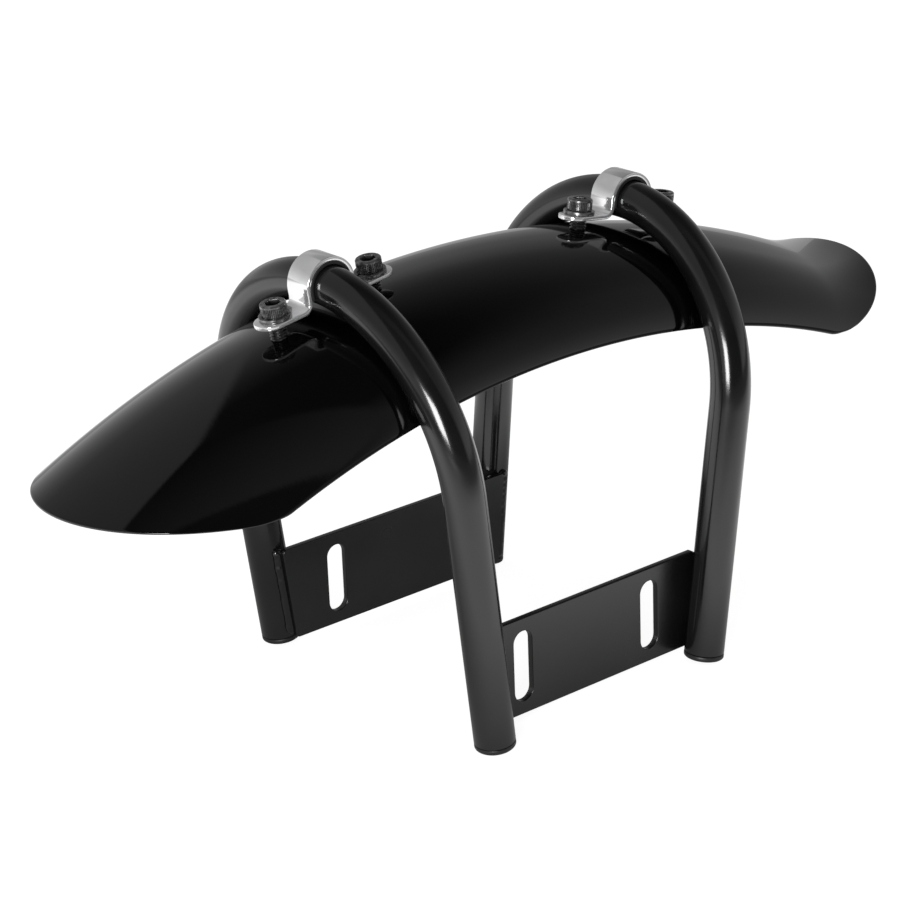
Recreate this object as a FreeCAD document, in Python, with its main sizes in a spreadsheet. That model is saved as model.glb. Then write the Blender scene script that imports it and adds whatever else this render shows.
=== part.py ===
import FreeCAD, Part
import math
import os
import re

import Sketcher

# A motorcycle front fender: an arched blade hung by clamps from two tube hoops with slotted side plates.
# Millimetres. +X towards the nose, +Y to the left, +Z up, origin on the floor under the blade's middle.

# Driving dimensions: name, value, meaning. Lengths in millimetres, angles in degrees.
SIZES = (
    ("tube_diameter", 19.05, "outside of the hoop tube"),
    ("tube_wall", 2.0, "wall of the hoop tube"),
    ("bend_radius", 82.0, "hoop bend, to the tube axis"),
    ("toe_angle", 0.9, "legs lean in towards the floor"),
    ("crown_height", 206.3, "floor to the tube axis at the top of each hoop"),
    ("front_lean_angle", 6.5, "front hoop leans forward"),
    ("rear_lean_angle", 7.1, "rear hoop leans back"),
    ("front_reach", 90.5, "front hoop crown ahead of the blade's highest point"),
    ("rear_reach", 89.5, "rear hoop crown behind the blade's highest point"),
    ("plug_flange", 2.6, "height of a leg plug's rim under the tube"),
    ("plug_stem", 14.0, "length of a leg plug inside the tube"),
    ("plug_chamfer", 0.8, "bevel round the foot of a plug"),
    ("plate_thickness", 3.4, "side plate sheet"),
    ("plate_height", 47.5, "side plate, lower to upper edge"),
    ("plate_lift", 4.0, "lower edge of a side plate above the floor"),
    ("plate_corner", 2.0, "rounding of a side plate's corners"),
    ("plate_front_setback", 0.5, "plate end behind the front leg's axis"),
    ("plate_rear_setback", 2.0, "plate end ahead of the rear leg's axis"),
    ("slot_width", 11.0, "bolt slot"),
    ("slot_length", 35.0, "bolt slot, end to end"),
    ("slot_spacing", 78.5, "slot centre to slot centre"),
    ("blade_thickness", 2.0, "sheet of the blade"),
    ("blade_radius", 489.9, "crown line of the blade"),
    ("section_half_width", 65.8, "half axis of the blade's elliptical section, across"),
    ("section_depth", 43.0, "half axis of the blade's elliptical section, down"),
    ("rim_angle", 80.0, "section's end from its crown, on the ellipse"),
    ("nose_angle", 28.9, "crown arc ahead of the highest point"),
    ("back_angle", 22.6, "crown arc behind the highest point"),
    ("tail_radius", 172.7, "reverse curve of the tail"),
    ("tail_angle", 17.4, "arc of the tail's reverse curve"),
    ("nose_cut_angle", 4.7, "slope of the plane that trims the nose"),
    ("tail_cut_angle", 31.5, "slope of the tail's edge at its tip, seen from the side"),
    ("tail_cut_radius", 134.0, "arc that trims the tail, seen from the side"),
    ("blade_clearance", 4.4, "front hoop tube to the blade below it"),
    ("strap_width", 15.0, "clamp strap, across"),
    ("strap_thickness", 2.0, "clamp strap"),
    ("strap_bend", 3.0, "inside radius where a clamp's flank turns into its ear"),
    ("liner_thickness", 1.4, "rubber liner between strap and tube"),
    ("ear_level", 8.4, "tube axis to the underside of a clamp's ears"),
    ("ear_margin", 10.2, "screw axis to the end of an ear"),
    ("clamp_tilt", 8.5, "clamp follows the fall of the blade"),
    ("screw_spacing", 53.6, "screw to screw in one clamp"),
    ("screw_diameter", 7.94, "screw shank"),
    ("screw_length", 25.4, "screw under its head"),
    ("head_diameter", 11.9, "screw head"),
    ("head_height", 5.6, "screw head"),
    ("head_chamfer", 0.6, "bevel of head and shank end"),
    ("socket_width", 6.35, "hexagon socket, across flats"),
    ("socket_depth", 3.4, "hexagon socket"),
    ("lock_diameter", 14.8, "spring lock washer"),
    ("lock_thickness", 2.0, "spring lock washer"),
    ("lock_split", 1.3, "gap in the spring lock washer"),
    ("washer_diameter", 17.5, "flat washer under the blade"),
    ("washer_thickness", 1.6, "flat washer under the blade"),
    ("nut_width", 12.7, "nut, across flats"),
    ("nut_height", 6.7, "nut"),
    ("hole_clearance", 0.35, "screw to the wall of its hole, in strap and blade"),
    ("fit_gap", 0.1, "play between seated pieces"),
)

# Run-out of the blade's sweep and of the tail's trimming arc past the blade's ends, in degrees,
# and how far the trimming cuts reach.
RUN_OUT = 2.0
ARC_RUN_OUT = 8.0
CUT_REACH = 150.0
# Rounding of an ear's corners as a share of the strap's width: just short of a half round.
EAR_ROUNDING = 0.48
# Slope of the lock washer's split, and the steps round a washer's rim when it is seated.
SPLIT_SLOPE = 25.0
RIM_STEPS = 72
# Turn of the hexagons about their axes, in degrees.
HEXAGON_TURN = 15
# How near an edge must run to an axis, as a cosine, and how near a length must come to count as equal.
ALONG_AXIS = 0.99
NEAR = 1e-3

doc = FreeCAD.newDocument("front_fender")
sheet = doc.addObject("Spreadsheet::Sheet", "size")
for row, (alias, number, meaning) in enumerate(SIZES, start=1):
    sheet.set(f"A{row}", meaning)
    sheet.set(f"B{row}", str(number))
    sheet.setAlias(f"B{row}", alias)
doc.recompute()
names = [alias for alias, number, meaning in SIZES]


def bound(formula):
    """The formula with each driving dimension spelled as a cell of the sheet."""
    return re.sub("[a-z_]+", lambda word: f"size.{word[0]}" if word[0] in names else word[0], formula)


def value(formula):
    """The formula's number, from the sheet."""
    result = sheet.evalExpression(bound(formula))
    return float(getattr(result, "Value", result))


# Shared formulas
TUBE_RADIUS = "( tube_diameter / 2 )"
BORE_RADIUS = f"( {TUBE_RADIUS} - tube_wall )"
STRAP_INNER = f"( {TUBE_RADIUS} + liner_thickness + 2 * fit_gap )"
NOSE_REACH = "( blade_radius * sin( nose_angle ) )"
TAIL_REACH = (
    "( ( blade_radius + tail_radius ) * sin( back_angle )"
    " - tail_radius * sin( back_angle - tail_angle ) )"
)
BLADE_X = f"( ( {TAIL_REACH} - {NOSE_REACH} ) / 2 )"
CROWN_DROP = "( blade_radius - sqrt( blade_radius ^ 2 - front_reach ^ 2 ) )"
CROWN_OVER_BLADE = f"( {TUBE_RADIUS} + blade_clearance - {CROWN_DROP} )"
BLADE_Z = f"( crown_height - {CROWN_OVER_BLADE} )"
HOLE_RADIUS = "( screw_diameter / 2 + hole_clearance )"
EAR_TOP = "( strap_thickness - ear_level )"

# The two hoops with what hangs on them: crown place, lean, and the sign of lean and clamp tilt about +Y.
HOOPS = {
    "front": {
        "x": f"( {BLADE_X} + front_reach )",
        "lean": "front_lean_angle",
        "sign": 1,
        "reach": "front_reach",
    },
    "rear": {
        "x": f"( {BLADE_X} - rear_reach )",
        "lean": "rear_lean_angle",
        "sign": -1,
        "reach": "rear_reach",
    },
}
SIDES = {"left": 1, "right": -1}
ENDS = {"fore": 1, "aft": -1}
parts = {}


def new_body(label):
    body = doc.addObject("PartDesign::Body", label)
    body.Label = label
    parts[label] = body
    return body


def new_sketch(body, role, name):
    """An empty sketch on one of the body's own origin planes."""
    sketch = body.newObject("Sketcher::SketchObject", name)
    support = [feature for feature in body.Origin.OriginFeatures if feature.Role == role]
    sketch.AttachmentSupport = [(support[0], "")]
    sketch.MapMode = "FlatFace"
    return sketch


def offset_sketch(sketch, base, angle="0", axis=(1, 0, 0)):
    """Shifts a sketch from its plane by three formulas in its own axes and turns it about one of them."""
    shift = FreeCAD.Vector(*[value(formula) for formula in base])
    turn = FreeCAD.Rotation(FreeCAD.Vector(*axis), value(angle))
    sketch.AttachmentOffset = FreeCAD.Placement(shift, turn)
    for letter, formula in zip("xyz", base):
        sketch.setExpression(f"AttachmentOffset.Base.{letter}", bound(formula))
    if angle != "0":
        sketch.setExpression("AttachmentOffset.Rotation.Angle", bound(angle))


def place(body, x, y, z, angle="0", sign=1):
    """Places a body by three formulas and turns it about Y, nose down where sign is positive."""
    turn = FreeCAD.Rotation(FreeCAD.Vector(0, sign, 0), value(angle))
    body.Placement = FreeCAD.Placement(FreeCAD.Vector(value(x), value(y), value(z)), turn)
    for letter, formula in zip("xyz", (x, y, z)):
        body.setExpression(f"Placement.Base.{letter}", bound(formula))
    if angle != "0":
        body.setExpression("Placement.Rotation.Angle", bound(angle))


def dimension(sketch, formula, kind, *where):
    """A dimension of the sketch, bound to its formula."""
    index = sketch.addConstraint(Sketcher.Constraint(kind, *where, value(formula)))
    sketch.setExpression(f"Constraints[{index}]", bound(formula))


def pin(sketch, geometry, point, x, y):
    """Dimensions a point from the sketch's origin; a zero puts it on the axis."""
    for formula, kind, axis in ((x, "DistanceX", -2), (y, "DistanceY", -1)):
        if abs(value(formula)) < NEAR:
            sketch.addConstraint(Sketcher.Constraint("PointOnObject", geometry, point, axis))
        else:
            dimension(sketch, formula, kind, -1, 1, geometry, point)


def vector(x, y):
    return FreeCAD.Vector(value(x), value(y), 0)


def polygon(sketch, corners):
    """A closed outline through corners given as pairs of formulas."""
    points = [vector(x, y) for x, y in corners]
    first = sketch.GeometryCount
    count = len(points)
    for index in range(count):
        sketch.addGeometry(Part.LineSegment(points[index], points[(index + 1) % count]))
    for index in range(count):
        following = first + (index + 1) % count
        sketch.addConstraint(Sketcher.Constraint("Coincident", first + index, 2, following, 1))
    for index, (x, y) in enumerate(corners):
        pin(sketch, first + index, 1, x, y)


def circle(sketch, radius, x="0", y="0"):
    index = sketch.addGeometry(Part.Circle(vector(x, y), FreeCAD.Vector(0, 0, 1), value(radius)))
    pin(sketch, index, 3, x, y)
    dimension(sketch, radius, "Radius", index)


def arc(sketch, x, y, radius, start, end):
    """An arc about a centre given by formulas, drawn between two angles in degrees."""
    full = Part.Circle(vector(x, y), FreeCAD.Vector(0, 0, 1), value(radius))
    return sketch.addGeometry(Part.ArcOfCircle(full, math.radians(start), math.radians(end)))


def line(sketch, start, end):
    return sketch.addGeometry(Part.LineSegment(vector(*start), vector(*end)))


def tangent(sketch, first, first_point, second, second_point):
    sketch.addConstraint(Sketcher.Constraint("Tangent", first, first_point, second, second_point))


def hexagon(sketch, width):
    """A hexagon of the given width across flats about the sketch's origin."""
    polygon(sketch, [
        (f"{width} / sqrt( 3 ) * cos( {angle} )", f"{width} / sqrt( 3 ) * sin( {angle} )")
        for angle in range(HEXAGON_TURN, HEXAGON_TURN + 360, 60)
    ])


def pad(body, sketch, length, symmetric=False):
    feature = body.newObject("PartDesign::Pad", "Pad")
    feature.Profile = sketch
    feature.setExpression("Length", bound(length))
    if symmetric:
        feature.SideType = "Symmetric"
    return feature


def pocket(body, sketch, length=None, reverse=False, symmetric=False):
    feature = body.newObject("PartDesign::Pocket", "Pocket")
    feature.Profile = sketch
    feature.Reversed = reverse
    if length is None:
        feature.Type = "ThroughAll"
    else:
        feature.setExpression("Length", bound(length))
    if symmetric:
        feature.SideType = "Symmetric"
    return feature


def revolve(body, sketch):
    feature = body.newObject("PartDesign::Revolution", "Revolution")
    feature.Profile = sketch
    feature.ReferenceAxis = (sketch, ["V_Axis"])
    feature.Angle = 360
    return feature


def sweep(body, section, path):
    feature = body.newObject("PartDesign::AdditivePipe", "Sweep")
    feature.Profile = section
    feature.Spine = path
    return feature


def round_edges(body, radius, chosen):
    """Rounds the straight edges of the body's last feature that chosen() accepts."""
    doc.recompute()
    base = body.Tip
    edges = [f"Edge{index}" for index, edge in enumerate(base.Shape.Edges, start=1) if chosen(edge)]
    feature = body.newObject("PartDesign::Fillet", "Rounding")
    feature.Base = (base, edges)
    feature.setExpression("Radius", bound(radius))
    return feature


# Hoop legs, worked out in the hoop's own plane from its crown
def foot_depth(lean):
    """Crown to the middle of a plug's foot in the hoop's plane; the foot's lowest point is on the floor."""
    slant = f"sqrt( 1 - ( cos( {lean} ) * cos( toe_angle ) ) ^ 2 )"
    return f"( ( crown_height - ( {TUBE_RADIUS} - plug_chamfer ) * {slant} ) / cos( {lean} ) )"


def leg_y(depth):
    """Middle of a leg from the centre plane, at a depth below the crown in the hoop's plane."""
    below_bend = f"( {depth} - bend_radius * ( 1 + sin( toe_angle ) ) )"
    return f"( bend_radius * cos( toe_angle ) - {below_bend} * tan( toe_angle ) )"


def tube_end_depth(lean):
    return f"( {foot_depth(lean)} - plug_flange * cos( toe_angle ) )"


def make_hoop(name, hoop):
    """A tube bent over the blade, with legs that lean in a little."""
    body = new_body(f"{name}_hoop")
    end_depth = tube_end_depth(hoop["lean"])
    end_y = leg_y(end_depth)
    path = new_sketch(body, "YZ_Plane", "Path")
    side = "bend_radius * cos( toe_angle )"
    side_depth = "bend_radius * ( 1 + sin( toe_angle ) )"
    toe = value("toe_angle")
    left = line(path, (end_y, f"- {end_depth}"), (side, f"- {side_depth}"))
    bend = arc(path, "0", "- bend_radius", "bend_radius", -toe, 180 + toe)
    right = line(path, (f"- {side}", f"- {side_depth}"), (f"- {end_y}", f"- {end_depth}"))
    tangent(path, left, 2, bend, 1)
    tangent(path, bend, 2, right, 1)
    pin(path, bend, 3, "0", "- bend_radius")
    dimension(path, "bend_radius", "Radius", bend)
    pin(path, left, 1, end_y, f"- {end_depth}")
    pin(path, right, 2, f"- {end_y}", f"- {end_depth}")
    section = new_sketch(body, "XY_Plane", "Section")
    offset_sketch(section, ("0", end_y, f"- {end_depth}"), "toe_angle", (-1, 0, 0))
    circle(section, TUBE_RADIUS)
    circle(section, BORE_RADIUS)
    sweep(body, section, path)
    place(body, hoop["x"], "0", "crown_height", hoop["lean"], hoop["sign"])


def make_plug(name, hoop, side, y_sign):
    """A plug with a rim as wide as the tube and a stem pressed into its bore."""
    body = new_body(f"{name}_{side}_plug")
    profile = new_sketch(body, "XZ_Plane", "Profile")
    stem = f"( {BORE_RADIUS} - fit_gap )"
    polygon(profile, [
        ("0", "- plug_flange"),
        (f"{TUBE_RADIUS} - plug_chamfer", "- plug_flange"),
        (TUBE_RADIUS, "plug_chamfer - plug_flange"),
        (TUBE_RADIUS, "0"),
        (stem, "0"),
        (stem, "plug_stem - plug_chamfer"),
        (f"{stem} - plug_chamfer", "plug_stem"),
        ("0", "plug_stem"),
    ])
    revolve(body, profile)
    depth = tube_end_depth(hoop["lean"])
    lean = FreeCAD.Rotation(FreeCAD.Vector(0, hoop["sign"], 0), value(hoop["lean"]))
    toe = FreeCAD.Rotation(FreeCAD.Vector(-y_sign, 0, 0), value("toe_angle"))
    crown = FreeCAD.Vector(value(hoop["x"]), 0, value("crown_height"))
    end = FreeCAD.Vector(0, y_sign * value(leg_y(depth)), -value(depth))
    body.Placement = FreeCAD.Placement(crown + lean.multVec(end), lean.multiply(toe))


def plate_y():
    """Outer face of the side plates, against the legs' inner side where they stand closest."""
    depth = "( ( crown_height - plate_lift ) / cos( max( front_lean_angle ; rear_lean_angle ) ) )"
    return f"( {leg_y(depth)} - {TUBE_RADIUS} / cos( toe_angle ) - fit_gap )"


def plate_end(hoop, height):
    """The leg axis at a height above the floor, as the plate's end follows it."""
    sign = "+" if hoop["sign"] < 0 else "-"
    return f"( {hoop['x']} {sign} ( crown_height - {height} ) * tan( {hoop['lean']} ) )"


def make_slot(sketch, x, z):
    """An upright slot with round ends about a centre given by formulas."""
    radius = "slot_width / 2"
    half = "( slot_length - slot_width ) / 2"
    top = arc(sketch, x, f"{z} + {half}", radius, 0, 180)
    low = arc(sketch, x, f"{z} - {half}", radius, 180, 360)
    left = line(sketch, (f"{x} - {radius}", f"{z} + {half}"), (f"{x} - {radius}", f"{z} - {half}"))
    right = line(sketch, (f"{x} + {radius}", f"{z} - {half}"), (f"{x} + {radius}", f"{z} + {half}"))
    tangent(sketch, top, 2, left, 1)
    tangent(sketch, left, 2, low, 1)
    tangent(sketch, low, 2, right, 1)
    tangent(sketch, right, 2, top, 1)
    sketch.addConstraint(Sketcher.Constraint("Equal", top, low))
    pin(sketch, top, 3, x, f"{z} + {half}")
    pin(sketch, low, 3, x, f"{z} - {half}")
    dimension(sketch, radius, "Radius", top)


def make_plate(side, y_sign):
    """A flat plate between the legs of one side, with two bolt slots."""
    body = new_body(f"{side}_plate")
    low = "plate_lift"
    high = "( plate_lift + plate_height )"
    levels = (low, high)
    front = {level: f"( {plate_end(HOOPS['front'], level)} - plate_front_setback )" for level in levels}
    rear = {level: f"( {plate_end(HOOPS['rear'], level)} + plate_rear_setback )" for level in levels}
    outline = new_sketch(body, "XZ_Plane", "Outline")
    polygon(outline, [(rear[low], low), (front[low], low), (front[high], high), (rear[high], high)])
    pad(body, outline, "plate_thickness")
    round_edges(body, "plate_corner", lambda edge: abs(edge.tangentAt(edge.FirstParameter).y) > ALONG_AXIS)
    slots = new_sketch(body, "XZ_Plane", "Slots")
    middle = "( plate_lift + plate_height / 2 )"
    centre = f"( {plate_end(HOOPS['front'], middle)} + {plate_end(HOOPS['rear'], middle)} ) / 2"
    for sign in ("+", "-"):
        make_slot(slots, f"( {centre} {sign} slot_spacing / 2 )", middle)
    pocket(body, slots, reverse=True)
    inner = plate_y() if y_sign > 0 else f"( plate_thickness - {plate_y()} )"
    place(body, "0", inner, "0")


def blade_section(sketch, shrink):
    """One elliptical arc of the blade's section, its ends at the rim angle, drawn inwards by shrink."""
    across = f"( section_half_width - {shrink} )"
    down = f"( section_depth - {shrink} )"
    centre = vector("0", "- section_depth")
    ellipse = Part.Ellipse(
        centre + FreeCAD.Vector(value(across), 0, 0),
        centre + FreeCAD.Vector(0, value(down), 0),
        centre,
    )
    rim = math.radians(value("rim_angle"))
    curve = sketch.addGeometry(Part.ArcOfEllipse(ellipse, math.pi / 2 - rim, math.pi / 2 + rim))
    sketch.exposeInternalGeometry(curve)
    major = curve + 1
    minor = curve + 2
    pin(sketch, curve, 3, "0", "- section_depth")
    sketch.addConstraint(Sketcher.Constraint("Horizontal", major))
    dimension(sketch, f"2 * {across}", "Distance", major)
    dimension(sketch, f"2 * {down}", "Distance", minor)
    dimension(sketch, f"{across} * sin( rim_angle )", "DistanceX", -1, 1, curve, 1)
    dimension(sketch, f"- {across} * sin( rim_angle )", "DistanceX", -1, 1, curve, 2)
    return curve


def trim_nose(body):
    """Cuts off what lies under a plane through the nose's tip, which falls towards the back."""
    tip_z = "( blade_radius * cos( nose_angle ) - blade_radius )"
    run = f"{CUT_REACH} * cos( nose_cut_angle )"
    fall = f"{CUT_REACH} * sin( nose_cut_angle )"
    low = f"{tip_z} - {CUT_REACH}"
    sketch = new_sketch(body, "XZ_Plane", "NoseCut")
    polygon(sketch, [
        (f"{NOSE_REACH} - {run}", f"{tip_z} - {fall}"),
        (f"{NOSE_REACH} + {run}", f"{tip_z} + {fall}"),
        (f"{NOSE_REACH} + {run}", low),
        (f"{NOSE_REACH} - {run}", low),
    ])
    pocket(body, sketch, symmetric=True)


def trim_tail(body):
    """Cuts off what lies under an arc through the tail's tip, which levels out towards the front."""
    tip_z = (
        "( ( blade_radius + tail_radius ) * cos( back_angle ) - blade_radius"
        " - tail_radius * cos( back_angle - tail_angle ) )"
    )
    centre_x = f"( tail_cut_radius * sin( tail_cut_angle ) - {TAIL_REACH} )"
    centre_z = f"( {tip_z} + tail_cut_radius * cos( tail_cut_angle ) )"
    back = f"( tail_cut_angle + {ARC_RUN_OUT} )"
    sketch = new_sketch(body, "XZ_Plane", "TailCut")
    slope = value(back)
    edge = arc(sketch, centre_x, centre_z, "tail_cut_radius", 270 - slope, 270 + ARC_RUN_OUT)
    first = sketch.getPoint(edge, 1)
    last = sketch.getPoint(edge, 2)
    low = FreeCAD.Vector(0, first.y - CUT_REACH, 0)
    corners = [last, FreeCAD.Vector(last.x, low.y, 0), FreeCAD.Vector(first.x, low.y, 0), first]
    sides = [sketch.addGeometry(Part.LineSegment(*pair)) for pair in zip(corners, corners[1:])]
    chain = [edge, *sides]
    for index, item in enumerate(chain):
        following = chain[(index + 1) % len(chain)]
        sketch.addConstraint(Sketcher.Constraint("Coincident", item, 2, following, 1))
    for side, direction in zip(sides, ("Vertical", "Horizontal", "Vertical")):
        sketch.addConstraint(Sketcher.Constraint(direction, side))
    pin(sketch, edge, 3, centre_x, centre_z)
    dimension(sketch, "tail_cut_radius", "Radius", edge)
    dimension(sketch, f"{centre_x} - tail_cut_radius * sin( {back} )", "DistanceX", -1, 1, edge, 1)
    dimension(sketch, f"{centre_x} + tail_cut_radius * sin( {ARC_RUN_OUT} )", "DistanceX", -1, 1, edge, 2)
    dimension(sketch, str(CUT_REACH), "DistanceY", sides[2], 1, sides[2], 2)
    pocket(body, sketch, symmetric=True)


def make_blade():
    """The blade: an elliptical section swept along its crown line, trimmed to a rounded nose and tail."""
    body = new_body("fender_blade")
    start = f"( nose_angle + {RUN_OUT} )"
    finish = f"( back_angle - tail_angle - {RUN_OUT} )"
    reach = "( blade_radius + tail_radius )"
    path = new_sketch(body, "XZ_Plane", "CrownLine")
    back = value("back_angle")
    crown = arc(path, "0", "- blade_radius", "blade_radius", 90 - value(start), 90 + back)
    tail_x = f"- {reach} * sin( back_angle )"
    tail_z = f"{reach} * cos( back_angle ) - blade_radius"
    tail = arc(path, tail_x, tail_z, "tail_radius", value(finish) - 90, back - 90)
    tangent(path, crown, 2, tail, 2)
    pin(path, crown, 3, "0", "- blade_radius")
    dimension(path, "blade_radius", "Radius", crown)
    dimension(path, f"blade_radius * sin( {start} )", "DistanceX", -1, 1, crown, 1)
    dimension(path, "- blade_radius * sin( back_angle )", "DistanceX", -1, 1, crown, 2)
    dimension(path, "tail_radius", "Radius", tail)
    end_x = f"tail_radius * sin( {finish} ) - {reach} * sin( back_angle )"
    dimension(path, end_x, "DistanceX", -1, 1, tail, 1)
    section = new_sketch(body, "YZ_Plane", "Section")
    start_z = f"blade_radius * cos( {start} ) - blade_radius"
    offset_sketch(section, ("0", start_z, f"blade_radius * sin( {start} )"), start)
    outer = blade_section(section, "0")
    inner = blade_section(section, "blade_thickness")
    for point in (1, 2):
        ends = [section.getPoint(curve, point) for curve in (outer, inner)]
        rim = section.addGeometry(Part.LineSegment(*ends))
        section.addConstraint(Sketcher.Constraint("Coincident", rim, 1, outer, point))
        section.addConstraint(Sketcher.Constraint("Coincident", rim, 2, inner, point))
    sweep(body, section, path)
    trim_nose(body)
    trim_tail(body)
    for name, hoop in HOOPS.items():
        holes = new_sketch(body, "XY_Plane", f"{name}_holes")
        reach_x = hoop["reach"] if hoop["sign"] > 0 else f"- {hoop['reach']}"
        offset_sketch(holes, (reach_x, "0", CROWN_OVER_BLADE), "clamp_tilt", (0, hoop["sign"], 0))
        for sign in ("", "- "):
            circle(holes, HOLE_RADIUS, f"{sign}screw_spacing / 2")
        pocket(body, holes)
    place(body, BLADE_X, "0", BLADE_Z)


def strap_section(body, role, base, thickness, width):
    """A strap's flat section about its path's first point."""
    section = new_sketch(body, role, "Section")
    offset_sketch(section, base)
    half_thick = f"( {thickness} / 2 )"
    half_wide = f"( {width} / 2 )"
    across, up = (half_thick, half_wide) if role == "XY_Plane" else (half_wide, half_thick)
    polygon(section, [(f"- {across}", f"- {up}"), (across, f"- {up}"), (across, up), (f"- {across}", up)])
    return section


def flank_level():
    """Height at which a clamp's flank turns into its ear, from the tube axis."""
    return f"( {EAR_TOP} + strap_bend )"


def make_clamp(name, hoop):
    """A two-hole saddle clamp bent from flat strap over the hoop's crown."""
    body = new_body(f"{name}_clamp")
    arch = f"( {STRAP_INNER} + strap_thickness / 2 )"
    bend = "( strap_bend + strap_thickness / 2 )"
    ear = f"( {EAR_TOP} - strap_thickness / 2 )"
    ear_end = "( screw_spacing / 2 + ear_margin )"
    turn = f"( {arch} + {bend} )"
    path = new_sketch(body, "XZ_Plane", "Path")
    first_ear = line(path, (ear_end, ear), (turn, ear))
    first_bend = arc(path, turn, flank_level(), bend, 180, 270)
    first_flank = line(path, (arch, flank_level()), (arch, "0"))
    saddle = arc(path, "0", "0", arch, 0, 180)
    last_flank = line(path, (f"- {arch}", "0"), (f"- {arch}", flank_level()))
    last_bend = arc(path, f"- {turn}", flank_level(), bend, 270, 360)
    last_ear = line(path, (f"- {turn}", ear), (f"- {ear_end}", ear))
    tangent(path, first_ear, 2, first_bend, 2)
    tangent(path, first_bend, 1, first_flank, 1)
    tangent(path, first_flank, 2, saddle, 1)
    tangent(path, saddle, 2, last_flank, 1)
    tangent(path, last_flank, 2, last_bend, 2)
    tangent(path, last_bend, 1, last_ear, 1)
    for flank in (first_flank, last_flank):
        path.addConstraint(Sketcher.Constraint("Vertical", flank))
    for level in (first_ear, last_ear):
        path.addConstraint(Sketcher.Constraint("Horizontal", level))
    path.addConstraint(Sketcher.Constraint("Coincident", saddle, 3, -1, 1))
    dimension(path, arch, "Radius", saddle)
    for corner in (first_bend, last_bend):
        dimension(path, bend, "Radius", corner)
    pin(path, first_ear, 1, ear_end, ear)
    pin(path, last_ear, 2, f"- {ear_end}", ear)
    section = strap_section(body, "YZ_Plane", ("0", ear, ear_end), "strap_thickness", "strap_width")
    sweep(body, section, path)
    end = value(ear_end)

    def at_ear_end(edge):
        upright = abs(edge.tangentAt(edge.FirstParameter).z) > ALONG_AXIS
        return upright and abs(abs(edge.CenterOfMass.x) - end) < NEAR

    round_edges(body, f"{EAR_ROUNDING} * strap_width", at_ear_end)
    holes = new_sketch(body, "XY_Plane", "Holes")
    for sign in ("", "- "):
        circle(holes, HOLE_RADIUS, f"{sign}screw_spacing / 2")
    pocket(body, holes, symmetric=True)
    place(body, hoop["x"], "0", "crown_height", "clamp_tilt", hoop["sign"])


def make_liner(name, hoop):
    """A rubber strip between the clamp's saddle and the tube."""
    body = new_body(f"{name}_clamp_liner")
    middle = f"( {TUBE_RADIUS} + fit_gap + liner_thickness / 2 )"
    path = new_sketch(body, "XZ_Plane", "Path")
    first = line(path, (middle, flank_level()), (middle, "0"))
    saddle = arc(path, "0", "0", middle, 0, 180)
    last = line(path, (f"- {middle}", "0"), (f"- {middle}", flank_level()))
    tangent(path, first, 2, saddle, 1)
    tangent(path, saddle, 2, last, 1)
    path.addConstraint(Sketcher.Constraint("Coincident", saddle, 3, -1, 1))
    dimension(path, middle, "Radius", saddle)
    pin(path, first, 1, middle, flank_level())
    pin(path, last, 2, f"- {middle}", flank_level())
    start = (middle, "0", flank_level())
    section = strap_section(body, "XY_Plane", start, "liner_thickness", "strap_width")
    sweep(body, section, path)
    place(body, hoop["x"], "0", "crown_height", "clamp_tilt", hoop["sign"])


def place_on_screw(body, hoop, end_sign, level):
    """Places a body on a screw's axis, at a level from the tube axis square to the clamp's ears."""
    offset = f"{end_sign} * screw_spacing / 2"
    sign = hoop["sign"]
    x = f"{hoop['x']} + cos( clamp_tilt ) * {offset} + {sign} * sin( clamp_tilt ) * ( {level} )"
    z = f"crown_height - {sign} * sin( clamp_tilt ) * {offset} + cos( clamp_tilt ) * ( {level} )"
    place(body, x, "0", z, "clamp_tilt", sign)


def make_screw(label, hoop, end_sign):
    """A socket head cap screw, its origin under the head."""
    body = new_body(label)
    shank = "( screw_diameter / 2 )"
    head = "( head_diameter / 2 )"
    profile = new_sketch(body, "XZ_Plane", "Profile")
    polygon(profile, [
        ("0", "- screw_length"),
        (f"{shank} - head_chamfer", "- screw_length"),
        (shank, "head_chamfer - screw_length"),
        (shank, "0"),
        (head, "0"),
        (head, "head_height - head_chamfer"),
        (f"{head} - head_chamfer", "head_height"),
        ("0", "head_height"),
    ])
    revolve(body, profile)
    socket = new_sketch(body, "XY_Plane", "Socket")
    offset_sketch(socket, ("0", "0", "head_height"))
    hexagon(socket, "socket_width")
    pocket(body, socket, "socket_depth")
    place_on_screw(body, hoop, end_sign, f"{EAR_TOP} + lock_thickness")


def make_lock_washer(label, hoop, end_sign):
    """A spring washer with a slanted split, lying on the clamp's ear."""
    body = new_body(label)
    ring = new_sketch(body, "XY_Plane", "Ring")
    circle(ring, "lock_diameter / 2")
    circle(ring, "screw_diameter / 2 + fit_gap")
    pad(body, ring, "lock_thickness")
    split = new_sketch(body, "YZ_Plane", "Split")
    shift = f"( lock_thickness * tan( {SPLIT_SLOPE} ) )"
    half = "( lock_split / 2 )"
    polygon(split, [
        (f"- {half} - {shift}", "- lock_thickness / 2"),
        (f"{half} - {shift}", "- lock_thickness / 2"),
        (f"{half} + {shift}", "1.5 * lock_thickness"),
        (f"{shift} - {half}", "1.5 * lock_thickness"),
    ])
    pocket(body, split, reverse=end_sign * hoop["sign"] < 0)
    place_on_screw(body, hoop, end_sign, EAR_TOP)


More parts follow.
